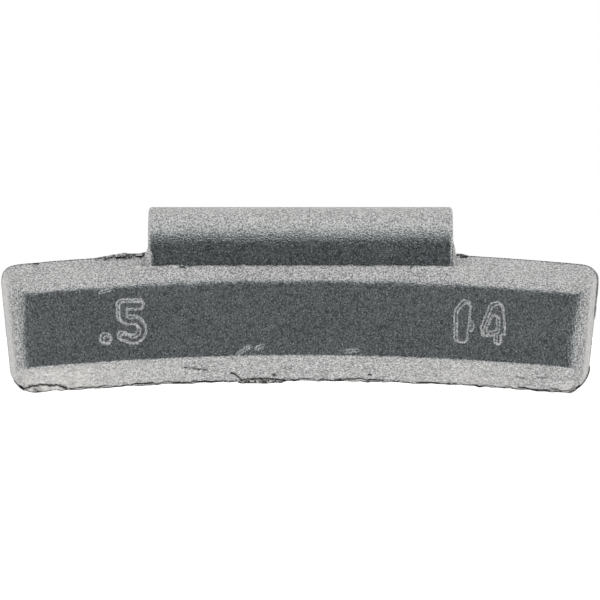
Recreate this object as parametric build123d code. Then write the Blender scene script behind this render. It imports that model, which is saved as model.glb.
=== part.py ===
from build123d import *
import os
from math import asin, atan2, cos, degrees, hypot, radians, sin, tan

# Clip-on wheel balance weight of 14 g: a zinc die casting with a spring-steel clip cast into it.
# Lengths are in millimetres and angles in degrees.
# The origin is the centre of the clip's crown bend, in which the edge of the rim's flange sits.
# +X runs along the rim, +Y points towards the tyre and +Z away from the wheel's axis.

# Rim that the weight fits
rim_edge_radius = 226.4  # wheel's axis to the edge of the flange, inside the crown
flange_curl_radius = 7.5  # outboard side of the rolled flange, which the body's back follows
flange_curl_tilt = 45.0  # slope of that curl where the body's top edge meets it

# Spring clip
strip_thickness = 1.1
clip_width = 22.4
crown_radius = 1.85  # inside of the bend over the rim's edge
leg_depth = 7.8  # crown's centre down to the end of the leg, inside the casting
tongue_straight = 0.6
tip_radius = 2.8
tip_flare = 25.0  # lead-in at the tongue's free end
tip_length = 0.9
tongue_corner = 2.2
anchor_hole = 2.4  # holes that the zinc runs through
anchor_pitch = 7.0
anchor_count = 3
anchor_depth = 5.7  # crown's centre down to the row of holes

# Cast body
body_length = 43.5  # chord between the ends at half height
body_height = 9.6  # radial height of the outline
body_drop = 0.34  # crown's centre down to the body's top edge
parting_setback = 0.8  # parting plane behind the back of the clip's leg
face_depth = 3.2  # parting plane to the marked face
top_bevel = 2.2
bottom_bevel = 2.0
end_bevel = 1.64
end_draft = 12.0  # slope of the ends' walls, off square to the face
end_ease = 0.4  # depth over which an end eases into the face
outline_corner = 1.4
face_corner = 0.6
face_round = 0.3
back_draft = 20.0  # slope of the ends behind the parting plane

# Shut-off around the clip: a flat ramp in front of the leg and a thin collar at its edges
ramp_drop = 1.3  # crown's centre down to the straight line where the leg leaves the casting
ramp_slope = 54.0
collar_drop = 0.05  # crown's centre down to the top of the collar
collar_width = 0.35
collar_setback = 0.4  # front of the leg back to the front of the collar

# Window in the back, where the die holds the leg
window_width = 16.0
window_depth = 3.4  # crown's centre down to the window's lower edge
window_corner = 0.8

# Places that follow from the sizes
axis_drop = rim_edge_radius - crown_radius
outer_radius = axis_drop - body_drop
inner_radius = outer_radius - body_height
middle_radius = (outer_radius + inner_radius) / 2
leg_back = -crown_radius
leg_front = leg_back - strip_thickness
parting_y = leg_back + parting_setback
face_y = parting_y - face_depth
curl_y = parting_y - flange_curl_radius * cos(radians(flange_curl_tilt))
curl_z = -body_drop - flange_curl_radius * sin(radians(flange_curl_tilt))
seat_y = curl_y + flange_curl_radius
seat_depth = seat_y - parting_y
tongue_radius = hypot(curl_y, curl_z) + crown_radius
tongue_turn = degrees(atan2(-curl_z, -curl_y))
tongue_y = curl_y + tongue_radius
wheel_axis = Axis((0, 0, -axis_drop), (0, 1, 0))


def half_angle(inset):
    """Angle from the middle of the weight to an end that is set in by a given length."""
    return degrees(asin((body_length / 2 - inset) / middle_radius))


def outline(y, top, bottom, end, corner):
    """Arched outline at depth y, set in from the body's outline at the top, bottom and ends."""
    angle = half_angle(end)
    upper = CenterArc((0, 0), outer_radius - top, 90 - angle, 2 * angle)
    lower = CenterArc((0, 0), inner_radius + bottom, 90 - angle, 2 * angle)
    right = Line(lower @ 0, upper @ 0)
    left = Line(lower @ 1, upper @ 1)
    sharp = make_face([upper, left, lower, right])
    plane = Plane(origin=(0, y, -axis_drop), x_dir=(1, 0, 0), z_dir=(0, -1, 0))
    return plane * fillet(sharp.vertices(), corner)


def strip_side(lift):
    """Edges of one long side of the strip's section, lifted off the side that touches the rim."""
    leg = Line((leg_back - lift, -leg_depth), (leg_back - lift, 0))
    crown = CenterArc((0, 0), crown_radius + lift, 180, tongue_turn - 180)
    tongue = CenterArc((curl_y, curl_z), tongue_radius + lift, tongue_turn, -tongue_turn)
    tip_z = curl_z - tongue_straight
    straight = Line(tongue @ 1, (tongue_y + lift, tip_z))
    bend = CenterArc((tongue_y + tip_radius, tip_z), tip_radius - lift, 180, tip_flare)
    tip = PolarLine(bend @ 1, tip_length, tip_flare - 90)
    return [leg, crown, tongue, straight, bend, tip]


# Spring clip: the bent strip, its rounded tongue and the holes in its leg
near = strip_side(0)
far = strip_side(strip_thickness)
leg_end = Line(near[0] @ 0, far[0] @ 0)
tip_end = Line(near[-1] @ 1, far[-1] @ 1)
section = Plane.YZ * make_face(near + far + [leg_end, tip_end])
clip = extrude(section, clip_width / 2, dir=(1, 0, 0), both=True)
tip_low = (near[-1] @ 1).Y
tongue_front = Pos(0, tip_low + clip_width / 2) * Rectangle(clip_width, clip_width)
rounded_front = fillet(tongue_front.vertices().group_by(Axis.Y)[0], tongue_corner)
clip -= extrude(Plane.XZ * (tongue_front - rounded_front), 2 * tongue_radius, dir=(0, 1, 0))
for index in range(anchor_count):
    hole_x = (index - (anchor_count - 1) / 2) * anchor_pitch
    drill = Cylinder(anchor_hole / 2, 4 * strip_thickness, rotation=(90, 0, 0))
    clip -= Pos(hole_x, (leg_back + leg_front) / 2, -anchor_depth) * drill

# Cast body: the bevelled front half with its steep ends, closed by the marked face
rim_outline = outline(parting_y, 0, 0, 0, outline_corner)
wall_slope = tan(radians(end_draft))
face_outline = outline(face_y, top_bevel, bottom_bevel, face_depth * wall_slope, face_corner)
front = loft([rim_outline, face_outline], ruled=True)
front = fillet(front.faces().sort_by(Axis.Y)[0].edges(), face_round)

# Ends: each eases into the face over a shallow slope
low_z = -body_drop - body_height
wall_inset = (face_depth - end_ease) * wall_slope
ease_run = end_bevel - wall_inset
ease_rise = end_ease / ease_run
ease_start = (-end_bevel - ease_run, face_y - ease_rise * ease_run)
ease_end = (end_bevel, face_y + ease_rise * 2 * end_bevel)
ease_side = Polyline(ease_start, ease_end, (end_bevel, ease_start[1]), close=True)
ease_cut = extrude(Plane.XY.offset(low_z) * make_face(ease_side), body_height, dir=(0, 0, 1))
ease_cut = ease_cut.rotate(wheel_axis, half_angle(0))
front -= ease_cut
front -= mirror(ease_cut, about=Plane.YZ)

# Back half: the curled seat and flat land that lie against the flange, turned about the wheel's axis
seat = CenterArc((curl_y, curl_z), flange_curl_radius, flange_curl_tilt, -flange_curl_tilt)
land = Line(seat @ 1, (seat_y, low_z + seat_depth))
heel = CenterArc((parting_y, low_z + seat_depth), seat_depth, 0, -90)
stem = Line(heel @ 1, seat @ 0)
back_section = Plane.YZ * make_face([seat, land, heel, stem])
sweep_angle = half_angle(0) + 1
back = revolve(back_section.rotate(wheel_axis, -sweep_angle), wheel_axis, 2 * sweep_angle)
taper = 2 * seat_depth
end_inset = taper * tan(radians(back_draft))
back_outline = outline(parting_y + taper, 0, 0, end_inset, outline_corner)
back &= loft([rim_outline, back_outline], ruled=True)

# Shut-off of the die around the clip: the ramp, which runs out into the bevel, and the collar
body = front + back
shut_off_span = clip_width + 2 * collar_width
ramp_foot = face_y + face_round
ramp_low = -ramp_drop - (leg_front - ramp_foot) * tan(radians(ramp_slope))
ramp_top = [(leg_back, -ramp_drop), (leg_front, -ramp_drop)]
ramp_side = Polyline(*ramp_top, (ramp_foot, ramp_low), (leg_back, ramp_low), close=True)
body += extrude(Plane.YZ * make_face(ramp_side), shut_off_span / 2, dir=(1, 0, 0), both=True)
collar_y = leg_front + collar_setback
collar_depth = leg_back + collar_width - collar_y
collar_height = -collar_drop - ramp_low
collar = Box(shut_off_span, collar_depth, collar_height, align=(Align.CENTER, Align.MIN, Align.MIN))
body += Pos(0, collar_y, ramp_low) * collar

# Window behind the leg, and the bed that the clip fills
window = Rectangle(window_width, 2 * window_depth)
window = fillet(window.vertices().group_by(Axis.Y)[0], window_corner)
body -= extrude(Plane.XZ.offset(-leg_back) * window, 4 * seat_depth, dir=(0, 1, 0))
body -= clip

os.makedirs("parts", exist_ok=True)
export_step(body, "parts/cast_body.step")
export_step(clip, "parts/spring_clip.step")
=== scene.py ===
import bpy
import numpy as np
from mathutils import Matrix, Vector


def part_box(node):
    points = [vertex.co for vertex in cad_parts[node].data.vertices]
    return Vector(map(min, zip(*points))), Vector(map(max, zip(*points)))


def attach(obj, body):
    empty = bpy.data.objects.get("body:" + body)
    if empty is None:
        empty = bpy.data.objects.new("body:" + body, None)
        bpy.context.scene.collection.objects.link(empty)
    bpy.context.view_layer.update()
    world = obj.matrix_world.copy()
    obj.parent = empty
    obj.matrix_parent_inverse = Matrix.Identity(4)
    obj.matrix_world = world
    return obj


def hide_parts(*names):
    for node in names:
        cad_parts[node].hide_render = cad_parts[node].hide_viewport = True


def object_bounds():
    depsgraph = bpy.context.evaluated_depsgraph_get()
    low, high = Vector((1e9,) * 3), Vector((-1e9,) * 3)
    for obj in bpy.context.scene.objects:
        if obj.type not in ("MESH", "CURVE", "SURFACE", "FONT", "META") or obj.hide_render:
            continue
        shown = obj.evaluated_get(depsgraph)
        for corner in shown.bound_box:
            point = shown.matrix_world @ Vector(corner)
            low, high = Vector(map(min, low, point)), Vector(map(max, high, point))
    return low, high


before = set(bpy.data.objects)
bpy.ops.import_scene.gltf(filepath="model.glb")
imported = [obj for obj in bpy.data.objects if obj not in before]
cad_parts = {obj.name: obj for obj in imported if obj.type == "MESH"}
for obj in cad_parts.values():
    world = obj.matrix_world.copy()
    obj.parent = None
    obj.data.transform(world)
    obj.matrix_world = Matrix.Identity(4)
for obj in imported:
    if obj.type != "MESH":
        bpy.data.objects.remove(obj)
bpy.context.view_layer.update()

# Spring clip
# A strip of spring steel, blanked and bent into a hook: a leg that the zinc is cast around, a crown over the
# rim's edge and a tongue that grips behind the flange. It is painted silver together with the casting.
MM = 0.001  # lengths in this file are in millimetres, and angles in degrees
clip_low, clip_high = (np.array(corner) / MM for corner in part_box("spring_clip"))
STRIP_THICKNESS = 1.1
STRIP_EDGE = 0.25  # rounding that tumbling and paint leave on the blanked edges
EDGE_STEPS = 6  # steps round each of them
EDGE_SUPPORT = STRIP_EDGE + 0.05  # points this far in from an edge keep the flat sides flat to the eye
CLIP_HALF_WIDTH = clip_high[0]
CROWN_MIDDLE = clip_high[2] - STRIP_THICKNESS / 2  # bend radius of the strip's middle line, about the origin
LEG_DEPTH = -clip_low[2]
PARTING_Y = -1.05  # plane of the body's parting edge
TOP_DROP = 0.34  # crown's centre down to the body's top edge
CURL_RADIUS = 7.5  # the flange's curl, which the tongue and the body's back follow
CURL_TILT = 45  # slope of that curl where the body's top edge meets it
CURL_Y = PARTING_Y - CURL_RADIUS * np.cos(np.radians(CURL_TILT))
CURL_Z = -TOP_DROP - CURL_RADIUS * np.sin(np.radians(CURL_TILT))
TONGUE_STRAIGHT = 0.6
TONGUE_CORNER = 2.2
TIP_RADIUS = 2.8
TIP_FLARE = 25
TIP_LENGTH = 0.9
STRIP_STEP = 0.12  # spacing of the sections along the strip
TIP_STEP = 0.025  # and over the last stretch, where the end is rounded over
TIP_STRETCH = 0.3
CREASE = 50  # edges that turn more than this look sharp
SPREAD_SAMPLES = 20001  # places at which a spacing is read


def spread(low, high, spacing, even=False):
    """Places from low to high, each about spacing(place) from the next, found at equal steps of the running
    sum of 1 / spacing. With even, the number of steps is even."""
    fine = np.linspace(low, high, SPREAD_SAMPLES)
    middles = (fine[1:] + fine[:-1]) / 2
    count = np.concatenate([[0], np.cumsum(np.diff(fine) / spacing(middles))])
    steps = int(np.ceil(count[-1]))
    steps += even * (steps % 2)
    return np.interp(np.linspace(0, count[-1], steps + 1), count, fine)


def grid_quads(index):
    """Quads of a grid of vertex numbers, each running once round a cell."""
    corners = [index[:-1, :-1], index[1:, :-1], index[1:, 1:], index[:-1, 1:]]
    return np.stack(corners, axis=-1).reshape(-1, 4)


def tube_faces(index):
    """Faces of a tube, from a grid of vertex numbers with a ring in each row: quads and both ends."""
    wrapped = np.concatenate([index, index[:, :1]], axis=1)
    ends = [index[0, ::-1].tolist(), index[-1].tolist()]
    return grid_quads(wrapped)[:, ::-1].tolist() + ends


def add_mesh(name, points, faces):
    """New object from points in millimetres, smooth but for edges that turn more than the crease angle."""
    mesh = bpy.data.meshes.new(name)
    mesh.from_pydata(points * MM, [], faces)
    mesh.polygons.foreach_set("use_smooth", np.ones(len(mesh.polygons), dtype=bool))
    mesh.set_sharp_from_angle(angle=np.radians(CREASE))
    mesh.update()
    piece = bpy.data.objects.new(name, mesh)
    bpy.context.collection.objects.link(piece)
    return piece


def strip_section():
    """Rounded rectangle once round the strip. Each point has a share of the half width, an x added to it
    and a lift off the strip's middle line."""
    half = STRIP_THICKNESS / 2
    shares, added, lifts = [], [], []
    for side_x, side_lift, start in [(1, 1, 90), (1, -1, 0), (-1, -1, -90), (-1, 1, -180)]:
        turn = np.radians(start - 90 * np.linspace(0, 1, EDGE_STEPS + 1))
        shares.append(np.full(EDGE_STEPS + 1, side_x))
        added.append(STRIP_EDGE * (np.cos(turn) - side_x))
        lifts.append(side_lift * (half - STRIP_EDGE) + STRIP_EDGE * np.sin(turn))
        if side_x == side_lift:
            shares.append(np.full(2, side_x))
            added.append(np.zeros(2))
            lifts.append(side_lift * (half - EDGE_SUPPORT) * np.array([1, -1]))
        else:
            shares.append(side_x * np.array([1, 0.5, 0, -0.5, -1]))
            added.append(-EDGE_SUPPORT * side_x * np.array([1, 0, 0, 0, -1]))
            lifts.append(np.full(5, side_lift * half))
    return np.concatenate(shares), np.concatenate(added), np.concatenate(lifts)


def clip_surface():
    """The section carried along the bent strip. The heading turns evenly along each bend, and the middle
    line is the running sum of the headings. At the tip the width follows a quarter round, and the end is
    rounded over."""
    tongue_turn = np.degrees(np.arctan2(-CURL_Z, -CURL_Y))
    tongue_middle = np.hypot(CURL_Y, CURL_Z) + CROWN_MIDDLE
    tip_middle = TIP_RADIUS - STRIP_THICKNESS / 2
    bends = np.radians([0, 180 - tongue_turn, tongue_turn, 0, -TIP_FLARE, 0])
    radii = np.array([0, CROWN_MIDDLE, tongue_middle, 0, -tip_middle, 0])
    lengths = np.array([LEG_DEPTH, 0, 0, TONGUE_STRAIGHT, 0, TIP_LENGTH]) + bends * radii
    marks = np.concatenate([[0], np.cumsum(lengths)])
    headings = np.concatenate([[0], np.cumsum(bends)])
    tip_start = marks[-1] - TIP_STRETCH
    along = spread(0, marks[-1], lambda place: np.where(place > tip_start, TIP_STEP, STRIP_STEP))
    middles = np.interp((along[1:] + along[:-1]) / 2, marks, headings)
    path_y = -CROWN_MIDDLE + np.concatenate([[0], np.cumsum(np.diff(along) * np.sin(middles))])
    path_z = -LEG_DEPTH + np.concatenate([[0], np.cumsum(np.diff(along) * np.cos(middles))])
    heading = np.interp(along, marks, headings)

    to_tip = marks[-1] - along
    corner_gap = np.clip(TONGUE_CORNER - to_tip, 0, None)
    corner_loss = TONGUE_CORNER - np.sqrt(TONGUE_CORNER**2 - corner_gap**2)
    edge_gap = np.clip(STRIP_EDGE - to_tip, 0, None)
    edge_loss = STRIP_EDGE - np.sqrt(STRIP_EDGE**2 - edge_gap**2)
    half_width = CLIP_HALF_WIDTH - corner_loss - edge_loss
    shares, added, lifts = strip_section()
    lift = lifts * (1 - 2 * edge_loss / STRIP_THICKNESS)[:, None]
    x = shares * half_width[:, None] + added
    y = path_y[:, None] - np.cos(heading)[:, None] * lift
    z = path_z[:, None] + np.sin(heading)[:, None] * lift
    return np.stack([x, y, z], axis=-1)


clip_points = clip_surface()
clip_index = np.arange(clip_points[..., 0].size).reshape(clip_points.shape[:2])
clip = add_mesh("spring_clip_strip", clip_points.reshape(-1, 3), tube_faces(clip_index))


def linear(hex_colour):
    """Linear colour with alpha from an sRGB hex value."""
    parts = np.array([int(hex_colour[i : i + 2], 16) for i in (1, 3, 5)]) / 255
    low = parts / 12.92
    high = ((parts + 0.055) / 1.055) ** 2.4
    return (*np.where(parts <= 0.04045, low, high), 1)


def add_node(tree, kind, inputs, **settings):
    """Adds a node with its settings. Each input is a value, or a socket to link from."""
    node = tree.nodes.new(kind)
    for name, value in settings.items():
        setattr(node, name, value)
    for name, value in inputs.items():
        if isinstance(value, bpy.types.NodeSocket):
            tree.links.new(value, node.inputs[name])
        else:
            node.inputs[name].default_value = value
    return node


# Silver paint: a thin aluminium-flake coat, sprayed on after casting. The flakes and the shot-blasted ground
# under them give an even salt-and-pepper grain, dark where the room is dark and bright where it is light.
PAINT_DARK = "#8a8a8a"
PAINT_LIGHT = "#e6e6e5"
CLIP_ROUGHNESS = 0.31
ROUGHNESS_SPREAD = 0.02  # bare-topped flakes shine more than the binder between them
GRAIN = 0.12  # width of a cluster of flakes, drawn a little coarser than real so that it shows
GRAIN_CONTRAST = (0.36, 0.64)  # noise values that give the darkest and the lightest flake
GRAIN_HEIGHT = 0.04
CLOUD = 2.5  # width of the patches where the coat is thicker or thinner
CLOUD_CONTRAST = (0.3, 0.7)
CLOUD_SHARE = 0.06  # how far those patches shift the tone either way


def silver_paint(name, roughness):
    """Paint whose tone follows noise as wide as the flakes, plus a little of a wider noise for the patches.
    The flakes' noise also gives the roughness and the bump."""
    material = bpy.data.materials.new(name)
    material.use_nodes = True
    tree = material.node_tree
    shader = tree.nodes["Principled BSDF"]
    shader.inputs["Metallic"].default_value = 1
    place = add_node(tree, "ShaderNodeTexCoord", {}).outputs["Object"]
    flakes = add_node(tree, "ShaderNodeTexNoise", {
        "Vector": place, "Scale": 1 / (GRAIN * MM), "Detail": 1.0, "Roughness": 0.6}).outputs["Fac"]
    clouds = add_node(tree, "ShaderNodeTexNoise", {
        "Vector": place, "Scale": 1 / (CLOUD * MM), "Detail": 2.0}).outputs["Fac"]
    flake_share = add_node(tree, "ShaderNodeMapRange", {
        "Value": flakes, "From Min": GRAIN_CONTRAST[0], "From Max": GRAIN_CONTRAST[1]}).outputs["Result"]
    cloud_share = add_node(tree, "ShaderNodeMapRange", {
        "Value": clouds, "From Min": CLOUD_CONTRAST[0], "From Max": CLOUD_CONTRAST[1],
        "To Min": -CLOUD_SHARE, "To Max": CLOUD_SHARE}).outputs["Result"]
    share = add_node(tree, "ShaderNodeMath", {
        0: flake_share, 1: cloud_share}, operation="ADD").outputs["Value"]
    colour = add_node(tree, "ShaderNodeMix", {
        "Factor": share, "A": linear(PAINT_DARK), "B": linear(PAINT_LIGHT),
    }, data_type="RGBA").outputs["Result"]
    shine = add_node(tree, "ShaderNodeMapRange", {
        "Value": flakes, "From Min": GRAIN_CONTRAST[0], "From Max": GRAIN_CONTRAST[1],
        "To Min": roughness + ROUGHNESS_SPREAD, "To Max": roughness - ROUGHNESS_SPREAD}).outputs["Result"]
    bump = add_node(tree, "ShaderNodeBump", {
        "Height": flakes, "Distance": GRAIN_HEIGHT * MM}).outputs["Normal"]
    tree.links.new(colour, shader.inputs["Base Color"])
    tree.links.new(shine, shader.inputs["Roughness"])
    tree.links.new(bump, shader.inputs["Normal"])
    return material, colour


painted_steel, _ = silver_paint("silver_painted_spring_steel", CLIP_ROUGHNESS)
clip.data.materials.append(painted_steel)
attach(clip, "root")
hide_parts("spring_clip")

# Cast body
# A zinc die casting, poured round the clip's leg in a two-part die. Its front is an arched bar with bevelled
# sides, and its back follows the rim's flange. The die leaves a parting edge, thin flash and broken gates.
body_low = np.array(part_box("cast_body")[0]) / MM
AXIS_DROP = 224.55  # crown's centre down to the wheel's axis, which the body is bent about
BODY_HEIGHT = 9.6
BODY_LENGTH = 43.5
NUMERAL_HEIGHT = 0.18  # the tops of the numerals reach the front of the casting's box
FACE_DEPTH = PARTING_Y - body_low[1] - NUMERAL_HEIGHT
TOP_BEVEL = 1.92
BOTTOM_BEVEL = 1.88
END_BEVEL = 1.73
END_TRIM = 0.16  # the right end is this much shorter
FLASH_ROOM = 0.06  # the outline stays this far inside the casting's box, for the flash on it
OUTER = AXIS_DROP - TOP_DROP
INNER = OUTER - BODY_HEIGHT + FLASH_ROOM
MIDDLE = OUTER - BODY_HEIGHT / 2
HALF_SPAN = MIDDLE * np.arcsin(BODY_LENGTH / 2 / MIDDLE) - FLASH_ROOM

# Grid: columns run along the bar and rows down from its top edge. Both are closer at fine detail.
NUMERAL_STRETCHES = [(-12.95, 2.0), (13.15, 2.1)]  # middle and half length along the bar
MARK_STRETCHES = [(-7.75, 1.1), (-3.2, 2.2), (4.3, 1.3), (16.95, 1.3)]  # scratches and gates
CLIP_STRETCHES = [(-CLIP_HALF_WIDTH, 0.6), (CLIP_HALF_WIDTH, 0.6)]  # the edges of the clip's leg
LEFT_STRETCH = -17  # the gate at the left end lies left of this
END_STRETCH = END_BEVEL + 0.7  # inwards from either end
NUMERAL_COLUMN = 0.055  # spacing of the columns
MARK_COLUMN = 0.09
PLAIN_COLUMN = 0.24
FACE_ROW = 0.063  # spacing of the rows
EDGE_ROW = 0.045
LOWER_ROW = 0.12
UPPER_ROW = 0.16
TOP_ROWS = 0.25  # depth of the close rows at the top edge
FOOT_ROWS = (1.0, 0.3)  # middle and half height of those where the clip's leg leaves the casting
MARK_ROWS = 1.2  # height of those at the bottom edge, where the cracks and scratches are
UPPER_ROWS = TOP_BEVEL - 0.6  # the wide rows on the top bevel end here
LOWER_ROWS = BOTTOM_BEVEL - 0.2  # and those on the bottom bevel start here, above the bottom edge


def within(place, stretches):
    """Whether each place lies in one of the stretches, each given by its middle and half length."""
    return np.any([np.abs(place - middle) < half for middle, half in stretches], axis=0)


def column_spacing(along):
    """Closest across the numerals, close at the ends, the marks and the clip's edges, and wider between."""
    ends = (np.abs(along) > HALF_SPAN - END_STRETCH) | (along < LEFT_STRETCH)
    marked = ends | within(along, MARK_STRETCHES + CLIP_STRETCHES)
    return np.select([within(along, NUMERAL_STRETCHES), marked], [NUMERAL_COLUMN, MARK_COLUMN], PLAIN_COLUMN)


def row_spacing(depth):
    """Close on the face, at the edges and where the cracks and scratches are, wider on the bevels."""
    above = BODY_HEIGHT - depth
    upper = (depth > TOP_ROWS) & (depth < UPPER_ROWS) & ~within(depth, [FOOT_ROWS])
    lower = (above < LOWER_ROWS) & (above > MARK_ROWS)
    edges = (above < MARK_ROWS) | (depth < TOP_ROWS)
    return np.select([upper, lower, edges], [UPPER_ROW, LOWER_ROW, EDGE_ROW], FACE_ROW)


columns = spread(-HALF_SPAN, HALF_SPAN - END_TRIM, column_spacing, even=True)
rows = spread(0, OUTER - INNER, row_spacing, even=True)
depth, along = np.meshgrid(rows, columns, indexing="ij")
above = OUTER - INNER - depth

# Gates: the runners that the zinc came in through, snapped off at the bottom edge, which they leave uneven
LENS = (-19.13, 1.73, 2.5)  # middle, half length and squareness of the broken patch at the left end
STUB = (-3.0, 1.75, 4)  # of the rough stub left of the middle
LIP = (4.1, 1.0, 4)  # and of the torn lip right of it
LENS_SWELL = -0.06  # the bottom edge is hollow at the patch
STUB_SWELL = 0.16  # and stands out at the stub
SWELL_HEIGHT = 0.7  # height over which this dies out
EDGE_SWELL = 0.07  # raggedness of the bottom edge elsewhere
EDGE_SWELL_HEIGHT = 0.3
EDGE_SWELL_ENDS = (1, 2)  # it sets in over this much inwards from the ends
random = np.random.default_rng(14)


def ease(value, low, high):
    """0 below low and 1 above high, with a smooth step between."""
    share = np.clip((value - low) / (high - low), 0, 1)
    return share * share * (3 - 2 * share)


def hump(place, middle, half, power=2):
    """1 in the middle of a stretch, falling to 0 at its ends, squarer for a higher power."""
    return np.sqrt(np.clip(1 - np.abs((place - middle) / half) ** power, 0, None))


def patchy(across, up, pitch):
    """Smooth random height between 0 and 1 over a plane, with a new value at every pitch both ways."""
    share_across, share_up = across / pitch, up / pitch
    first_across, first_up = np.floor(share_across.min()), np.floor(share_up.min())
    share_across, share_up = share_across - first_across, share_up - first_up
    whole_across, whole_up = share_across.astype(int), share_up.astype(int)
    values = random.random((whole_across.max() + 2, whole_up.max() + 2))
    step_across, step_up = ease(share_across - whole_across, 0, 1), ease(share_up - whole_up, 0, 1)
    left, right = values[whole_across, whole_up], values[whole_across + 1, whole_up]
    low = left * (1 - step_across) + right * step_across
    left, right = values[whole_across, whole_up + 1], values[whole_across + 1, whole_up + 1]
    high = left * (1 - step_across) + right * step_across
    return low * (1 - step_up) + high * step_up


def ragged(place, pitch):
    """Smooth random height between 0 and 1 along a line, with a new value at every pitch."""
    return patchy(place, np.zeros_like(place), pitch)


lens = hump(along, *LENS)
stub = hump(along, *STUB)
lip = hump(along, *LIP)
off_ends = ease(HALF_SPAN - np.abs(along), *EDGE_SWELL_ENDS)
swell = (LENS_SWELL * lens + STUB_SWELL * stub) * (1 - ease(above, 0, SWELL_HEIGHT))
edge_swell = EDGE_SWELL * (ragged(along, pitch=0.45) - 0.5) * (1 - ease(above, 0, EDGE_SWELL_HEIGHT))
swell = swell + edge_swell * off_ends

# Outline: level lines of the bevels, with corners rounded by pulling both insets in to a squarish round.
# Where the window opens at the top, the edge is sunk to a line just in front of the window's floor.
TOP_CORNER = 3.4  # squareness of the outline's rounded corners
BOTTOM_CORNER = 1.75
RIGHT_CORNER = 1.8  # the bottom corner at the right end
WINDOW_HALF = 8.0
WINDOW_BLEND = 0.3  # length over which the edge sinks at either side
WINDOW_SINK = 0.1  # the window's floor lies this far inside the leg, so that the leg shows
WINDOW_FLOOR = STRIP_THICKNESS / 2 - CROWN_MIDDLE - WINDOW_SINK
EDGE_SINK = PARTING_Y - WINDOW_FLOOR + 0.1  # parting plane to just in front of that floor
TINY = 1e-9  # keeps 0 out of a division
window = ease(WINDOW_HALF + WINDOW_BLEND / 2 - np.abs(along), 0, WINDOW_BLEND)
window_cut = TOP_BEVEL * EDGE_SINK / FACE_DEPTH
depth = depth + window * window_cut * np.clip(1 - depth / TOP_BEVEL, 0, None)
top_level = depth / TOP_BEVEL
bottom_level = (OUTER - INNER - depth) / BOTTOM_BEVEL
end_level = np.where(along < 0, HALF_SPAN + along, HALF_SPAN - END_TRIM - along) / END_BEVEL
top_gap = np.clip(1 - top_level, 0, None)
bottom_gap = np.clip(1 - bottom_level, 0, None)
end_gap = np.clip(1 - end_level, 0, None)
side_gap = top_gap + bottom_gap
squareness = np.select([top_gap > 0, along > 0], [TOP_CORNER, RIGHT_CORNER], BOTTOM_CORNER)
both_gaps = (side_gap**squareness + end_gap**squareness) ** (1 / squareness)
pull = 1 - np.maximum(side_gap, end_gap) / np.maximum(both_gaps, TINY)
radius = OUTER - depth - pull * (top_gap * TOP_BEVEL - bottom_gap * BOTTOM_BEVEL) - swell
along = along - np.sign(along) * pull * end_gap * END_BEVEL
x = radius * np.sin(along / MIDDLE)
z = radius * np.cos(along / MIDDLE) - AXIS_DROP

# Front: the bevels rise to the face. In front of the clip's leg a ramp takes the place of the top bevel.
# It is ruled from the straight line where the leg leaves the casting to the arched edge of the face.
TOP_EDGE = 0.9  # how far the rounding reaches where the top bevel meets the face
BOTTOM_EDGE = 0.18  # where the bottom bevel does
FOOT_EDGE = 0.3  # where the ramp does
WALL_EDGE = 0.3  # where an end's curve meets its wall
SIDE_EDGE = 0.1  # and where an end meets the bevels
LEG_FRONT = -clip_high[2]  # the crown is round, so the leg stands as far forward as the crown is high
RAMP_HALF = CLIP_HALF_WIDTH - 0.1  # the ramp is full this far out from the middle
RAMP_SIDE = 1.7  # length over which the ramp's sides run out into the bevel
RAMP_DROP = 1.35  # crown's centre down to the straight line
RAMP_UNEVEN = 0.12  # unevenness of that line
RAMP_START = (-0.02, 0.03)  # the ramp sets in over this much below it
RAMP_LIP = 0.15  # and stands this far in front of the leg
RAMP_FOOT = 2.17  # body's top edge down to the face's edge under the clip
END_SINK = 1.26  # the ends curve down from the face by this much where they reach the outline
END_POWER = 2.5  # the higher, the later they turn down
END_REACH_LEFT = (1.0, 0.3)  # the curve starts this far inside the bevel, at the top and lower down
END_REACH_RIGHT = (0.2, 0.6)
END_REACH_DEPTHS = (1.8, 5.5)  # where the reach begins to change and where it has changed
END_DRAFT = 12  # slope of the wall that the curve runs into, off square to the face


def smooth_min(a, b, reach):
    """The lesser of a and b, with a rounded corner where they come within reach of each other."""
    share = np.clip(0.5 + 0.5 * (b - a) / reach, 0, 1)
    return b + (a - b) * share - reach * share * (1 - share)


def blend(share, low, high=1):
    """Low where the share is 0, high where it is 1, and evenly between."""
    return low + (high - low) * share


under_clip = 1 - ease(np.abs(x), RAMP_HALF, RAMP_HALF + RAMP_SIDE)
below_line = -z - RAMP_DROP + RAMP_UNEVEN * (ragged(along, pitch=0.45) - 0.5)
face_edge = AXIS_DROP - np.sqrt((OUTER - RAMP_FOOT) ** 2 - x**2)
ramp_start = PARTING_Y - LEG_FRONT + RAMP_LIP
ramp_rise = blend(below_line / (face_edge - RAMP_DROP), ramp_start, FACE_DEPTH)
top_rise = FACE_DEPTH * top_level
top_rise = blend(under_clip * ease(below_line, *RAMP_START), top_rise, ramp_rise)
top_rise = smooth_min(top_rise, FACE_DEPTH, blend(under_clip, TOP_EDGE, FOOT_EDGE))
bottom_rise = smooth_min(FACE_DEPTH * bottom_level, FACE_DEPTH, BOTTOM_EDGE)
end_wall = FACE_DEPTH - (END_BEVEL - end_gap * END_BEVEL) / np.tan(np.radians(END_DRAFT))
lower_down = ease(depth, *END_REACH_DEPTHS)
reach_left = blend(lower_down, *END_REACH_LEFT)
reach_right = blend(lower_down, *END_REACH_RIGHT)
end_run = END_BEVEL + np.where(along < 0, reach_left, reach_right)
end_curve = np.clip(1 - end_level * END_BEVEL / end_run, 0, None) ** END_POWER
end_rise = FACE_DEPTH + smooth_min(-END_SINK * end_curve, -end_wall, WALL_EDGE)
front_y = PARTING_Y - smooth_min(np.minimum(top_rise, bottom_rise), end_rise, SIDE_EDGE)
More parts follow.
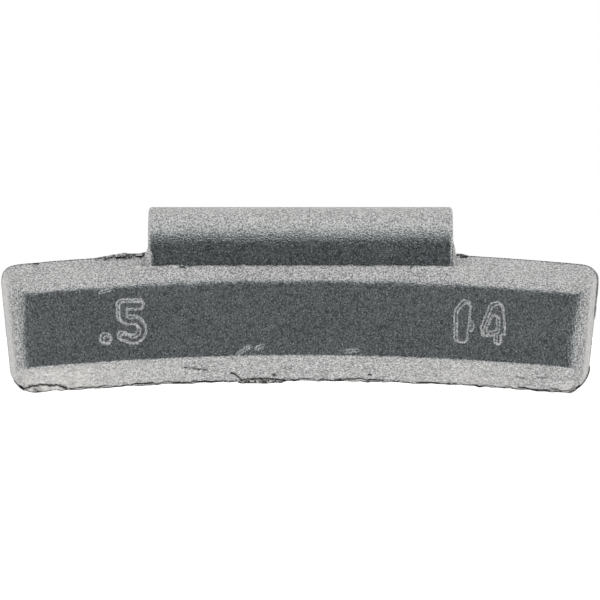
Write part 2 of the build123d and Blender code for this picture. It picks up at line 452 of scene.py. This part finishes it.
rise = PARTING_Y - front_y

# Back: the curled seat, flat land and rounded heel, held in by the drafted ends and cut by the window
SEAT_Y = CURL_Y + CURL_RADIUS
SEAT_DEPTH = SEAT_Y - PARTING_Y
BACK_DRAFT = 20  # slope of the ends, off square to the parting plane
BACK_SIDES = 12  # steepness of the short walls at the top and bottom edges
BACK_EDGE = 0.12  # how far the rounding reaches where the walls meet the seat
WINDOW_DEPTH = 3.4  # crown's centre down to the window's lower edge
WINDOW_CORNER = 0.8
WINDOW_SIDES = 18  # steepness of the window's sides
WINDOW_EDGE = 0.05
fall = radius - AXIS_DROP
heel_z = INNER - AXIS_DROP + SEAT_DEPTH
curl = CURL_Y + np.sqrt(np.clip(CURL_RADIUS**2 - np.clip(fall - CURL_Z, 0, None) ** 2, 0, None))
heel_reach = np.clip(heel_z - fall, 0, None)
heel = np.sqrt(np.clip(SEAT_DEPTH**2 - heel_reach**2, 0, None)) - SEAT_DEPTH
end_slope = END_BEVEL / np.tan(np.radians(BACK_DRAFT))
wall = PARTING_Y + np.minimum(BACK_SIDES * np.minimum(top_level, bottom_level), end_slope * end_level)
back_y = smooth_min(curl + heel, wall, BACK_EDGE)
window_x = np.abs(x) - WINDOW_HALF + WINDOW_CORNER
window_z = -WINDOW_DEPTH + WINDOW_CORNER - z
outside = np.hypot(np.clip(window_x, 0, None), np.clip(window_z, 0, None)) - WINDOW_CORNER
outside = outside + np.clip(np.maximum(window_x, window_z), None, 0)
back_y = smooth_min(back_y, WINDOW_FLOOR + WINDOW_SIDES * np.clip(outside, 0, None), WINDOW_EDGE)

# Raised numerals: the weight's mass, cut into the die, on the face left of the middle and right of it
NUMERAL_STEP = 0.14  # the sides rise in two steps this wide
NUMERAL_LEDGE = 0.11  # from the start of the first step to the start of the second
NUMERAL_SHIFT = 0.1  # the upper step lies this much to the right of the lower one and below it
FIVE_PLACE = (-12.31, 219.4)  # along the bar and out from the wheel's axis
BAR_REACH = 0.44  # half the width of the five's bar and stem
BOWL_REACH = 0.39
BOWL_RADIUS = 0.72
DOT_PLACE = (-14.33, 218.28)
DOT_REACH = 0.52
DOT_SLOPE = 0.7  # steepness of the dot's side against the others'
ONE_PLACE = (11.84, 219.38)
ONE_REACH = 0.41  # how far the one's outline lies outside its block
FOUR_PLACE = (14.11, 219.51)
FOUR_REACH = 0.22  # the same for the four
FOUR_FOOT_REACH = 0.32  # half the width of the four's foot
FOUR_HOLE_REACH = 0.08  # how far its hole's outline lies outside the hole's block


def stroke_distance(across, up, points):
    """Distance from each place to the nearest of the straight runs that join the points."""
    points = np.array(points)
    run = np.diff(points, axis=0)
    offset = np.stack([across, up], axis=-1)[..., None, :] - points[:-1]
    share = np.clip((offset * run).sum(-1) / (run**2).sum(-1), 0, 1)
    return np.linalg.norm(offset - share[..., None] * run, axis=-1).min(-1)


def block_distance(across, up, corners):
    """Distance outside a convex block whose corners run clockwise, and below zero inside it."""
    closed = np.array([*corners, corners[0]])
    run = np.diff(closed, axis=0)
    offset = np.stack([across, up], axis=-1)[..., None, :] - closed[:-1]
    inside = (offset[..., 0] * run[:, 1] - offset[..., 1] * run[:, 0] > 0).all(-1)
    distance = stroke_distance(across, up, closed)
    return np.where(inside, -distance, distance)


def numeral_gap(along, radius):
    """How far each place lies inside the nearest numeral's outline, and below zero outside it."""
    in_dot = (along - DOT_PLACE[0], radius - DOT_PLACE[1])
    in_five = (along - FIVE_PLACE[0], radius - FIVE_PLACE[1])
    in_one = (along - ONE_PLACE[0], radius - ONE_PLACE[1])
    in_four = (along - FOUR_PLACE[0], radius - FOUR_PLACE[1])
    bar = [(0.54, 1.25), (-0.7, 1.29), (-0.73, 0.44)]
    turn = np.radians(np.linspace(108, -135, 17))
    bowl = BOWL_RADIUS * np.stack([np.cos(turn), np.sin(turn)], axis=-1) + (-0.05, -0.57)
    bowl = np.concatenate([[(-0.71, 0.33)], bowl, [(-0.84, -1.0)]])
    one = [(-0.28, 0.68), (0.1, 1.21), (0.2, 1.18), (0.1, -1.17), (-0.19, -1.17)]
    four = [
        (-0.2, 1.16), (0.17, 1.31), (0.45, 1.14), (0.66, 0.13),
        (0.74, -0.78), (-0.7, -0.93), (-0.77, -0.55)]
    foot = [(0.36, -0.8), (0.39, -1.38)]
    hole = [(0.0, 0.3), (0.08, 0.22), (0.11, -0.54), (-0.27, -0.62), (-0.31, -0.5)]
    block_gap = FOUR_REACH - block_distance(*in_four, four)
    foot_gap = FOUR_FOOT_REACH - stroke_distance(*in_four, foot)
    hole_gap = block_distance(*in_four, hole) - FOUR_HOLE_REACH
    return np.max([
        DOT_SLOPE * (DOT_REACH - np.hypot(*in_dot)),
        BAR_REACH - stroke_distance(*in_five, bar),
        BOWL_REACH - stroke_distance(*in_five, bowl),
        ONE_REACH - block_distance(*in_one, one),
        np.minimum(np.maximum(block_gap, foot_gap), hole_gap),
    ], axis=0)


# Marks of casting: cracks along the parting edge and where the gates were snapped off, with bare zinc and
# dirt below them, and nicks, scratches and rubbed paint. The cracks, nicks and scratches are grooves with
# painted shade in them. Lines run across and up, as seen from the front.
CRACK_DEPTH = 0.2
CRACK_WIDTH = 0.045
CRACK_FADE = 0.6  # height over which a crack fades above its top
PARTING_CRACK = 0.1  # the crack's usual height above the bottom edge
TOP_CRACK = 0.8  # painted shade in the crack along the top edge, left of the clip
TOP_CRACK_STRETCH = (-15.3, -14.7, -11.6, -11.4)  # where it starts, is full, weakens and ends
TOP_CRACK_WIDTH = 1.3 * CRACK_WIDTH
TOP_CRACK_RIGHT = (11.75, 0.32)  # middle and half length of its short stretch right of the clip
LENS_EDGE = [  # broken edges of the three gates
    (-21.03, -9.97), (-20.37, -10.45), (-20.07, -10.34), (-19.7, -10.21), (-19.1, -10.16),
    (-18.38, -10.19), (-17.79, -10.17), (-17.5, -10.3), (-17.25, -10.47)]
STUB_EDGE = [
    (-5.13, -9.27), (-4.8, -9.35), (-4.5, -9.68), (-4.32, -9.84),
    (-3.88, -9.73), (-2.77, -9.69), (-1.59, -9.75), (-1.14, -9.86)]
LIP_EDGE = [
    (2.62, -9.85), (3.06, -9.86), (3.28, -9.71), (4.02, -9.75),
    (4.32, -9.66), (4.76, -9.79), (4.98, -9.93)]
CHIP_EDGE = [(4.98, -9.37), (5.24, -9.455)]
PIT = [(-1.98, -9.38), (-1.93, -9.4)]
FOOT_NICK = [(-8.88, -1.46), (-8.46, -1.51)]
TOP_NICK = [(-19.65, -1.22), (-19.3, -1.27)]
SIDE_NICK = [(-21.86, -2.42), (-21.86, -2.52)]
CORNER_EDGE = [(21.2, -8.87), (21.11, -9.32), (20.9, -9.75), (20.59, -10.17), (20.3, -10.5)]
CORNER_SPOT = [(20.18, -10.26), (19.96, -10.5), (19.74, -10.6)]
CORNER_LINE = [(18.42, -10.41), (18.86, -10.48), (19.15, -10.62)]
LEFT_SCRATCH = [(-8.6, -8.83), (-7.5, -8.98), (-6.85, -9.05)]
RIGHT_SCRATCH = [(15.8, -9.56), (16.1, -9.66), (16.5, -9.68)]
RIGHT_DASH = [(17.4, -9.6), (17.8, -9.66), (18.15, -9.64)]
LENS_DIRT = (-19.42, 0.32)  # middle and half length of the dirty place under the left patch's edge
LENS_START = (0.04, 0.12)  # the broken patch sets in over this much below its edge
BREAK_START = (-0.02, 0.03)  # the same for the stub and the lip
GRIME = 0.8  # darkness of the dirt on the stub
LENS_GRIME = 0.7  # that of the dirt on the patch, as a share of it
RUBBED = [(0.6, -18.4, 3.4), (0.35, -14.5, 6), (0.3, 12.5, 5)]  # strength, middle and half length
RUBBED_TOP = 1.9  # the bottom bevel is rubbed up to this far above the bottom edge
RUBBED_EDGE = 0.5  # and fully this much lower
RUBBED_BARE = 0.75  # shares of bare zinc that show
STUB_BARE = 0.45
LIP_BARE = 0.3
CORNER_BARE = 0.8
END_BARE = 0.45
END_BARE_OUT = (0.5, 0.8)  # shares of an end's bevel, from inside, where that begins and where it is full
END_BARE_DEPTH = (0.4, 0.9)  # the same down from the top edge
END_BARE_ABOVE = (0.9, 1.8)  # and up from the bottom edge
END_WALL_OUT = (0.45, 0.7)  # an end's wall has no cracks: shares of the bevel as above
END_WALL_RISE = (0.12, 0.34)  # and heights in front of the parting plane
CORNER_PATCH = (19.6, 0.55)  # middle and half length of the bare place at the right corner
CORNER_PATCH_TOP = (0.42, 0.7)  # where it begins to fade and where it ends, above the bottom edge
CHILL_EDGE = 0.25  # height over which the chill's mottle fades at the top of the bottom bevel
CHILL_RUBBED = 0.5  # share of it that rubbing takes away
SMEAR = (-3.35, 1.25)  # middle and half length of a place over the stub that has none
SMEAR_RISE = (0.55, 0.4)  # and the middle and half of its height
ROUGH_BREAK = 0.12  # unevenness of the broken stub
LENS_ROUGH = 0.4  # that of the broken patch, as a share of it
FACE_MARKS = [  # scuffs on the face: places along the bar and out from the wheel's axis
    [(-14.5, 221.66), (-13.8, 221.83)],
    [(12.47, 219.35), (12.66, 219.05), (12.5, 218.8), (12.36, 219.05), (12.47, 219.35)],
    [(-4.59, 216.77), (-3.77, 217.26)],
    [(-3.25, 217.11), (-2.81, 217.32)],
    [(3.3, 216.9), (4.2, 216.98)],
]
SCUFF_HEIGHT = 0.1
SCUFF_WIDTH = 0.1


def ridge(gap, width):
    """1 where the gap to a line is 0, falling to 1 / e at the width and soon to 0."""
    return np.exp(-((gap / width) ** 2))


def crack_tone(line, tone=1, width=CRACK_WIDTH, top=BODY_HEIGHT):
    """The tone on a line drawn across the casting, fading to either side and above the top. The line is
    shaken a little, and its width is uneven."""
    shaken = z + width * blend(patchy(along, above, pitch=0.17), low=-0.8, high=0.8)
    uneven = width * blend(patchy(along, above, pitch=0.3), low=0.7, high=1.3)
    fade = 1 - ease(above, top, top + CRACK_FADE)
    return tone * fade * ridge(stroke_distance(x, shaken, line), uneven)


def stretch(place, start, full, weaker, end):
    """0 up to the start, 1 from full to weaker and 0 from the end on, with smooth steps between."""
    return ease(place, start, full) * ease(-place, -end, -weaker)


def under(line):
    """Depth below a broken edge, measured straight down."""
    across, up = np.transpose(line)
    return np.interp(x, across, up) - z


at_gates = np.minimum(1, 2 * (lens + stub + lip))
parting_line = PARTING_CRACK * blend(ragged(along, pitch=0.4), low=0.2, high=1.8)
parting_tone = blend(ragged(along, pitch=0.6), low=0.1) * (1 - at_gates)
parting_width = CRACK_WIDTH * blend(ragged(along, pitch=0.3), low=0.5, high=1.1)
parting = parting_tone * ridge(above - parting_line, parting_width)
top_tone = TOP_CRACK * stretch(along, *TOP_CRACK_STRETCH) * ease(ragged(along, pitch=0.22), 0.2, 0.7)
top_tone = top_tone + TOP_CRACK * hump(along, *TOP_CRACK_RIGHT)
top_line = blend(ragged(along, pitch=0.35), low=0.02, high=0.16)
# the crack mask deepens each groove and paints shade into it, darker for a higher tone
crack = np.max([
    parting,
    top_tone * ridge(depth - top_line, TOP_CRACK_WIDTH),
    crack_tone(LENS_EDGE, width=0.085),
    crack_tone(STUB_EDGE, width=0.06),
    crack_tone(LIP_EDGE, tone=0.85),
    crack_tone(CHIP_EDGE),
    crack_tone(PIT, width=0.09),
    crack_tone(FOOT_NICK, tone=0.6, width=0.06),
    crack_tone(TOP_NICK, tone=0.4, width=0.07),
    crack_tone(SIDE_NICK, width=0.09),
    crack_tone(CORNER_EDGE, width=0.08, top=1.3),
    crack_tone(CORNER_SPOT, tone=0.55, width=0.07),
    crack_tone(CORNER_LINE, tone=0.7, width=0.05),
    crack_tone(LEFT_SCRATCH, tone=0.7, width=0.05),
    crack_tone(RIGHT_SCRATCH, tone=0.6, width=0.055),
    crack_tone(RIGHT_DASH, tone=0.6, width=0.055),
], axis=0)
on_end_wall = ease(end_gap, *END_WALL_OUT) * ease(rise, *END_WALL_RISE)
crack = crack * (1 - on_end_wall)
speckle = patchy(along, above, pitch=0.11)
in_lens = lens * ease(under(LENS_EDGE), *LENS_START)
in_stub = stub * ease(under(STUB_EDGE), *BREAK_START)
in_lip = lip * ease(under(LIP_EDGE), *BREAK_START)
lens_dirt = hump(x, *LENS_DIRT)
stub_grime = in_stub * blend(ease(speckle, 0.3, 0.7), low=0.12, high=0.92)
lens_grime = LENS_GRIME * in_lens * lens_dirt * ease(speckle, 0, 0.5)
crack = np.maximum(crack, GRIME * np.maximum(stub_grime, lens_grime))
rubbed = sum(strength * hump(along, middle, half) for strength, middle, half in RUBBED)
rubbed = rubbed * ease(RUBBED_TOP - above, 0, RUBBED_EDGE)
rubbed = rubbed * blend(patchy(along, above, pitch=0.35), low=0.4, high=1.6)
rubbed = rubbed.clip(0, 1)
end_bare = ease(end_gap, *END_BARE_OUT) * ease(depth, *END_BARE_DEPTH) * ease(above, *END_BARE_ABOVE)
end_bare = END_BARE * end_bare
corner_patch = hump(x, *CORNER_PATCH) * (1 - ease(above, *CORNER_PATCH_TOP))
lens_bare = in_lens * (1 - lens_dirt) * blend(speckle, low=0.55)
bare = np.max([
    lens_bare, STUB_BARE * in_stub, LIP_BARE * in_lip,
    RUBBED_BARE * rubbed, CORNER_BARE * corner_patch, end_bare], axis=0)
smear = hump(along, *SMEAR) * hump(above, *SMEAR_RISE)
chill = 1 - ease(above, BOTTOM_BEVEL - CHILL_EDGE, BOTTOM_BEVEL)
chill = chill * (1 - smear) * (1 - CHILL_RUBBED * rubbed)
scuff = np.max([ridge(stroke_distance(along, radius, mark), SCUFF_WIDTH) for mark in FACE_MARKS], axis=0)
lower_step = ease(numeral_gap(along, radius), 0, NUMERAL_STEP)
upper_gap = numeral_gap(along - NUMERAL_SHIFT, radius + NUMERAL_SHIFT) - NUMERAL_LEDGE
relief = NUMERAL_HEIGHT / 2 * (lower_step + ease(upper_gap, 0, NUMERAL_STEP))
relief = relief * blend(patchy(along, radius, pitch=0.45), low=0.7)
relief = relief + SCUFF_HEIGHT * scuff * blend(patchy(along, radius, pitch=0.3), low=0.4)
front_y = front_y - relief + CRACK_DEPTH * crack
front_y = front_y + ROUGH_BREAK * np.maximum(LENS_ROUGH * in_lens, in_stub) * (speckle - 0.5)
front_y = np.maximum(front_y, body_low[1])

# Flash: a ragged fin along the parting edge, round in section, carried once round the outline. It is widest
# along the top, left of the clip. On the right end and at the bottom corners it stands out, with painted
# shade on its front half.
FLASH = (0.01, 0.04)  # least and greatest width where nothing is added
FLASH_HALF = (0.03, 0.05)  # and half thickness
FIN_RINGS = 9
EDGE_FACING = (0.8, 0.95)  # how far an edge has to face up or down to count as the top or bottom one
BOTTOM_FLASH = 0.05
BOTTOM_GAPS = 0.3  # raggedness up to this leaves none there
TOP_FLASH = 0.28
TOP_FLASH_STRETCH = (-15.4, -13.2, -11.4, -11.2)  # across: where it starts, is full, weakens and ends
TOP_FLASH_HALF = 0.12  # what it adds to the half thickness
SHORT_FLASH = 0.12
SHORT_FLASH_STRETCH = (11.2, 11.4, 11.8, 12.6)
END_FLASH = 0.09
END_FLASH_OUT = (20.9, 21.2)  # across: where it begins and where it is full
END_FLASH_STRETCH = (-5.5, -5.1, -2.1, -1.65)  # upwards: where it starts, is full, weakens and ends
# painted shade on the fin's front half at the right end
END_FIN_SHADE = 0.75
END_FIN_SHADE_STRETCH = (-5.1, -4.6, -2.6, -2)
CORNER_FLASH = 0.08
RIGHT_FLASH_OUT = (19.5, 19.9)  # where the corners' flash begins and where it is full, out from the middle
RIGHT_FLASH_DOWN = (8.65, 8.95)  # and down from the crown's centre
LEFT_FLASH_OUT = (20.25, 20.4)
LEFT_FLASH_DOWN = (9.75, 9.9)


def once_round(grid):
    """Values on the grid's edge: along the top, down the right, back along the bottom and up the left."""
    return np.concatenate([grid[0], grid[1:, -1], grid[-1, -2::-1], grid[-2:0:-1, 0]])


edge_x, edge_z = once_round(x), once_round(z)
tangent_x = np.roll(edge_x, -1) - np.roll(edge_x, 1)
tangent_z = np.roll(edge_z, -1) - np.roll(edge_z, 1)
tangent_size = np.hypot(tangent_x, tangent_z)
out_x, out_z = -tangent_z / tangent_size, tangent_x / tangent_size
edge_run = np.cumsum(np.hypot(edge_x - np.roll(edge_x, 1), edge_z - np.roll(edge_z, 1)))
on_top, on_bottom = ease(out_z, *EDGE_FACING), ease(-out_z, *EDGE_FACING)
top_left = on_top * stretch(edge_x, *TOP_FLASH_STRETCH)
top_right = on_top * stretch(edge_x, *SHORT_FLASH_STRETCH)
right_end = ease(edge_x, *END_FLASH_OUT) * stretch(edge_z, *END_FLASH_STRETCH)
right_corner = ease(edge_x, *RIGHT_FLASH_OUT) * ease(-edge_z, *RIGHT_FLASH_DOWN)
left_corner = ease(-edge_x, *LEFT_FLASH_OUT) * ease(-edge_z, *LEFT_FLASH_DOWN)
bottom_corners = np.maximum(right_corner, left_corner)
fin_width = blend(ragged(edge_run, pitch=0.5) * ragged(edge_run, pitch=3.1), *FLASH)
fin_width = fin_width + on_bottom * BOTTOM_FLASH * (ragged(edge_run, pitch=0.7) - BOTTOM_GAPS).clip(0, None)
fin_width = fin_width + top_left * TOP_FLASH * blend(ragged(edge_run, pitch=0.3), low=0.45)
fin_width = fin_width + top_right * SHORT_FLASH
fin_width = fin_width + right_end * END_FLASH * blend(ragged(edge_run, pitch=0.6), low=0.8)
fin_width = fin_width + bottom_corners * CORNER_FLASH * blend(ragged(edge_run, pitch=0.5), low=0.5)
fin_half = blend(ragged(edge_run, pitch=1.3), *FLASH_HALF)
fin_half = fin_half + top_left * TOP_FLASH_HALF * ease(ragged(edge_run, pitch=0.25), 0.3, 0.7)
around = np.linspace(-1, 1, FIN_RINGS)[:, None]
fin_out = fin_width * np.sqrt(1 - around**2)
front_edge, back_edge = once_round(front_y), once_round(back_y)
fin_y = (front_edge + back_edge) / 2 + around * ((back_edge - front_edge) / 2 + fin_half)
fin = np.stack([edge_x + out_x * fin_out, fin_y, edge_z + out_z * fin_out], axis=-1)
# the fin's front half is painted dark as shade along the cracks, at the right end and at the bottom corners
end_fin_shade = END_FIN_SHADE * right_end * stretch(edge_z, *END_FIN_SHADE_STRETCH)
end_fin_shade = end_fin_shade * ease(ragged(edge_run, pitch=0.3), 0, 0.5)
fin_crack = np.max([once_round(crack), end_fin_shade, bottom_corners], axis=0)
fin_crack = fin_crack * blend(ragged(edge_run, pitch=0.15), low=0.4) * (1 - ease(around, 0, 0.5))

# Beads: slivers of zinc that ran out of the die beside the clip's leg. They lean in against it and taper up.
BEADS = [  # side, lower end, upper end, half width of the section and where the taper starts
    (-1, (-11.2, -2.78, -1.6), (-11.1, -2.74, 0.02), 0.5, 0.5),
    (1, (11.28, -2.72, -1.6), (11.2, -2.7, 0.38), 0.3, 0.3),
]
BEAD_THICKNESS = 0.14  # half the section's other width
BEAD_RINGS = 15
BEAD_SIDES = 12
BEAD_TIP = 0.02  # least share of the taper that is left at the tip
BEAD_POWER = 0.7  # a section's size is that share, raised to this power


def bead_surface(side, low, high, half_width, taper_start):
    """An upright sliver: flat ellipses, turned half way between the clip's front and its side, that shrink
    towards the top. At the left side they run the other way round, so that the faces point outwards."""
    share = np.linspace(0, 1, BEAD_RINGS)[:, None]
    turn = np.radians(np.arange(BEAD_SIDES) * 360 / BEAD_SIDES)
    shrink = np.clip((1 - share) / (1 - taper_start), BEAD_TIP, 1) ** BEAD_POWER
    middle = np.array(low) + share[..., None] * (np.array(high) - np.array(low))
    in_x = np.sqrt(0.5) * (BEAD_THICKNESS * np.sin(turn) - half_width * np.cos(turn))
    in_y = -np.sqrt(0.5) * (BEAD_THICKNESS * np.sin(turn) + half_width * np.cos(turn))
    ellipses = np.stack([side * in_x, in_y, 0 * turn], axis=-1)
    return (middle + shrink[..., None] * ellipses)[:, ::side]


# One closed surface: the front grid, the fin's rings, and the back grid, which has half as many rows and
# columns and is joined to the last ring by five-sided faces. Each bead is a closed surface of its own.
front = np.stack([x, front_y, z], axis=-1)
back = np.stack([x, back_y, z], axis=-1)[::2, ::2]
points = np.concatenate([front.reshape(-1, 3), fin.reshape(-1, 3), back.reshape(-1, 3)])
front_index = np.arange(x.size).reshape(x.shape)
fin_index = x.size + np.arange(fin_out.size).reshape(fin_out.shape)
back_index = x.size + fin_out.size + np.arange(back[..., 0].size).reshape(back.shape[:2])
rings = np.concatenate([once_round(front_index)[None], fin_index])
rings = np.concatenate([rings, rings[:, :1]], axis=1)
last_ring, back_ring = rings[-1], once_round(back_index)
back_ring = np.append(back_ring, back_ring[0])
joint = [last_ring[:-1:2], last_ring[1::2], last_ring[2::2], back_ring[1:], back_ring[:-1]]
faces = grid_quads(front_index).tolist() + grid_quads(rings)[:, ::-1].tolist()
faces += grid_quads(back_index)[:, ::-1].tolist() + np.stack(joint, axis=-1).tolist()
for bead in BEADS:
    bead_points = bead_surface(*bead)
    bead_index = len(points) + np.arange(bead_points[..., 0].size).reshape(bead_points.shape[:2])
    faces += tube_faces(bead_index)
    points = np.concatenate([points, bead_points.reshape(-1, 3)])
body = add_mesh("cast_body_zinc", points, faces)
every_ring = np.ones_like(around)
plain_back = np.zeros(back_index.shape)
shares = {  # what each point shows of bare zinc, of the chill's mottle and of painted shade and dirt: front, fin and back
    "bare": (bare, once_round(bare) * every_ring, end_bare[::2, ::2]),
    "chill": (chill, once_round(chill) * every_ring, plain_back),
    "crack": (crack, fin_crack, plain_back),
}
for share_name, share_parts in shares.items():
    share_values = np.concatenate([part.ravel() for part in share_parts])
    share_values = np.pad(share_values, (0, len(points) - len(share_values)))
    body.data.attributes.new(share_name, "FLOAT", "POINT").data.foreach_set("value", share_values)

# Painted zinc: the same silver coat. The bottom bevel, where the zinc ran in and chilled first, is mottled
# under it. Where a gate was snapped off or the paint is rubbed, pale and slightly warm bare zinc shows. The
# cracks, nicks and scratches get painted shade, and the broken stub holds dirt.
BODY_ROUGHNESS = 0.36
BARE_ZINC = "#ece9e5"
# painted shade for the cracks, nicks and scratches, and dirt for the broken stub
CRACK_SHADE_AND_DIRT = "#1c1a18"
MOTTLE = 0.3  # width of the chill's patches
MOTTLE_CONTRAST = (0.35, 0.6)  # noise values that give the darkest and the lightest ones
MOTTLE_DARK = 0.75  # brightness of the darkest ones, as a share of the plain coat's
MOTTLE_LIGHT = 1.2
BARE_CONTRAST = (0.35, 0.65)  # the same for the bare zinc's own grain
BARE_DARK = 0.68
BARE_LIGHT = 1.2
painted_zinc, paint_colour = silver_paint("silver_painted_die_cast_zinc", BODY_ROUGHNESS)
zinc_tree = painted_zinc.node_tree
chilled = add_node(zinc_tree, "ShaderNodeAttribute", {}, attribute_name="chill").outputs["Fac"]
bare_zinc = add_node(zinc_tree, "ShaderNodeAttribute", {}, attribute_name="bare").outputs["Fac"]
shade_and_dirt = add_node(zinc_tree, "ShaderNodeAttribute", {}, attribute_name="crack").outputs["Fac"]
zinc_place = add_node(zinc_tree, "ShaderNodeTexCoord", {}).outputs["Object"]
patches = add_node(zinc_tree, "ShaderNodeTexNoise", {
    "Vector": zinc_place, "Scale": 1 / (MOTTLE * MM), "Detail": 2.0, "Roughness": 0.6}).outputs["Fac"]
patch_tone = add_node(zinc_tree, "ShaderNodeMapRange", {
    "Value": patches, "From Min": MOTTLE_CONTRAST[0], "From Max": MOTTLE_CONTRAST[1],
    "To Min": MOTTLE_DARK, "To Max": MOTTLE_LIGHT}).outputs["Result"]
mottled = add_node(zinc_tree, "ShaderNodeVectorMath", {
    0: paint_colour, "Scale": patch_tone}, operation="SCALE").outputs["Vector"]
chill_colour = add_node(zinc_tree, "ShaderNodeMix", {
    "Factor": chilled, "A": paint_colour, "B": mottled}, data_type="RGBA").outputs["Result"]
bare_tone = add_node(zinc_tree, "ShaderNodeMapRange", {
    "Value": patches, "From Min": BARE_CONTRAST[0], "From Max": BARE_CONTRAST[1],
    "To Min": BARE_DARK, "To Max": BARE_LIGHT}).outputs["Result"]
bare_colour = add_node(zinc_tree, "ShaderNodeVectorMath", {
    0: linear(BARE_ZINC)[:3], "Scale": bare_tone}, operation="SCALE").outputs["Vector"]
worn = add_node(zinc_tree, "ShaderNodeMix", {
    "Factor": bare_zinc, "A": chill_colour, "B": bare_colour}, data_type="RGBA").outputs["Result"]
# paints shade into the cracks, nicks and scratches, and dirt onto the broken stub
shaded_and_soiled = add_node(zinc_tree, "ShaderNodeMix", {
    "Factor": shade_and_dirt, "A": worn, "B": linear(CRACK_SHADE_AND_DIRT)}, data_type="RGBA").outputs["Result"]
zinc_tree.links.new(shaded_and_soiled, zinc_tree.nodes["Principled BSDF"].inputs["Base Color"])
body.data.materials.append(painted_zinc)
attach(body, "root")
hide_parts("cast_body")

# Stage
# A light tent over a plain white table. The side that the camera looks in through is dark, so faces turned
# to it are dark and sloping ones are bright. The table shows a soft shadow and leaves the light as it is.
WHITE = (1, 1, 1, 1)
TENT_LIGHT = 0.86
TENT_FRONT = 0.012  # brightness of the open side, as a share of the tent's
TENT_FRONT_TINT = "#d0eaf6"  # the room seen through it is a little blue
TENT_FRONT_EDGES = np.radians([15, 55])  # where the opening ends and where the tent is full, from its middle
TENT_BACK = 0.05  # brightness straight behind the part, as a share of the tent's
TENT_BACK_EDGES = np.radians([158, 178])
TENT_SIDE = 0.8  # brightness of the left and right panels, as a share of the top's and the table's
TENT_SIDE_EDGES = (0.84, 0.98)  # sideways share of the direction where they begin and where they are dimmest
scene = bpy.context.scene
scene.view_settings.view_transform = "Standard"
world = bpy.data.worlds.new("light_tent")
scene.world = world
world.use_nodes = True
tent_tree = world.node_tree
tent_tree.nodes.clear()
toward = add_node(tent_tree, "ShaderNodeTexCoord", {}).outputs["Generated"]
axes = add_node(tent_tree, "ShaderNodeSeparateXYZ", {"Vector": toward})
forward = add_node(tent_tree, "ShaderNodeMath", {
    0: axes.outputs["Y"], 1: -1.0}, operation="MULTIPLY").outputs["Value"]
angle = add_node(tent_tree, "ShaderNodeMath", {0: forward}, operation="ARCCOSINE").outputs["Value"]
open_side = add_node(tent_tree, "ShaderNodeMapRange", {
    "Value": angle, "From Min": TENT_FRONT_EDGES[0], "From Max": TENT_FRONT_EDGES[1],
    "To Min": TENT_FRONT, "To Max": 1.0}, interpolation_type="SMOOTHSTEP").outputs["Result"]
tint = add_node(tent_tree, "ShaderNodeMix", {
    "Factor": open_side, "A": linear(TENT_FRONT_TINT), "B": WHITE}, data_type="RGBA").outputs["Result"]
far_side = add_node(tent_tree, "ShaderNodeMapRange", {
    "Value": angle, "From Min": TENT_BACK_EDGES[0], "From Max": TENT_BACK_EDGES[1],
    "To Min": TENT_LIGHT, "To Max": TENT_LIGHT * TENT_BACK},
    interpolation_type="SMOOTHSTEP").outputs["Result"]
sideways = add_node(tent_tree, "ShaderNodeMath", {
    0: axes.outputs["X"]}, operation="ABSOLUTE").outputs["Value"]
panels = add_node(tent_tree, "ShaderNodeMapRange", {
    "Value": sideways, "From Min": TENT_SIDE_EDGES[0], "From Max": TENT_SIDE_EDGES[1],
    "To Min": 1.0, "To Max": TENT_SIDE}, interpolation_type="SMOOTHSTEP").outputs["Result"]
front_to_back = add_node(tent_tree, "ShaderNodeMath", {
    0: open_side, 1: far_side}, operation="MULTIPLY").outputs["Value"]
glow = add_node(tent_tree, "ShaderNodeMath", {
    0: front_to_back, 1: panels}, operation="MULTIPLY").outputs["Value"]
lit = add_node(tent_tree, "ShaderNodeBackground", {"Color": tint, "Strength": glow}).outputs[0]
plain = add_node(tent_tree, "ShaderNodeBackground", {"Color": WHITE, "Strength": 1.0}).outputs[0]
seen = add_node(tent_tree, "ShaderNodeLightPath", {}).outputs["Is Camera Ray"]
mixed = add_node(tent_tree, "ShaderNodeMixShader", {0: seen, 1: lit, 2: plain}).outputs[0]
add_node(tent_tree, "ShaderNodeOutputWorld", {"Surface": mixed})

# Table: white laminate, a matt sheet that glows a little, so that it is as white as the photograph's ground
TABLE_SIZE = 1200
TABLE_COLOUR = "#f2f2f0"
TABLE_ROUGHNESS = 0.8
TABLE_GLOW = 0.7
table_half = TABLE_SIZE / 2
table_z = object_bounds()[0].z / MM
table_sides = [(-1, -1), (1, -1), (1, 1), (-1, 1)]
table_corners = [(side_x * table_half, side_y * table_half, table_z) for side_x, side_y in table_sides]
table = add_mesh("white_table", np.array(table_corners), [(0, 1, 2, 3)])
table.visible_glossy = False
table.visible_diffuse = False
table.visible_shadow = False
laminate = bpy.data.materials.new("white_laminate")
laminate.use_nodes = True
laminate_shader = laminate.node_tree.nodes["Principled BSDF"]
laminate_shader.inputs["Base Color"].default_value = linear(TABLE_COLOUR)
laminate_shader.inputs["Roughness"].default_value = TABLE_ROUGHNESS
laminate_shader.inputs["Emission Color"].default_value = WHITE
laminate_shader.inputs["Emission Strength"].default_value = TABLE_GLOW
table.data.materials.append(laminate)

# Camera: square to the face, far enough off that the bar's depth hardly shows
CAMERA_DISTANCE = 400
CAMERA_PLACE = (-0.04, -3.92)
FRAME_WIDTH = 44.2  # what the frame spans at the parting plane
SENSOR_WIDTH = 36
NEAR_LIMIT = 10
camera_data = bpy.data.cameras.new("camera")
camera_data.sensor_width = SENSOR_WIDTH
camera_data.lens = SENSOR_WIDTH * CAMERA_DISTANCE / FRAME_WIDTH
camera_data.clip_start = NEAR_LIMIT * MM
camera = bpy.data.objects.new("camera", camera_data)
camera.location = (CAMERA_PLACE[0] * MM, (PARTING_Y - CAMERA_DISTANCE) * MM, CAMERA_PLACE[1] * MM)
camera.rotation_euler = (np.pi / 2, 0, 0)
bpy.context.collection.objects.link(camera)
scene.camera = camera
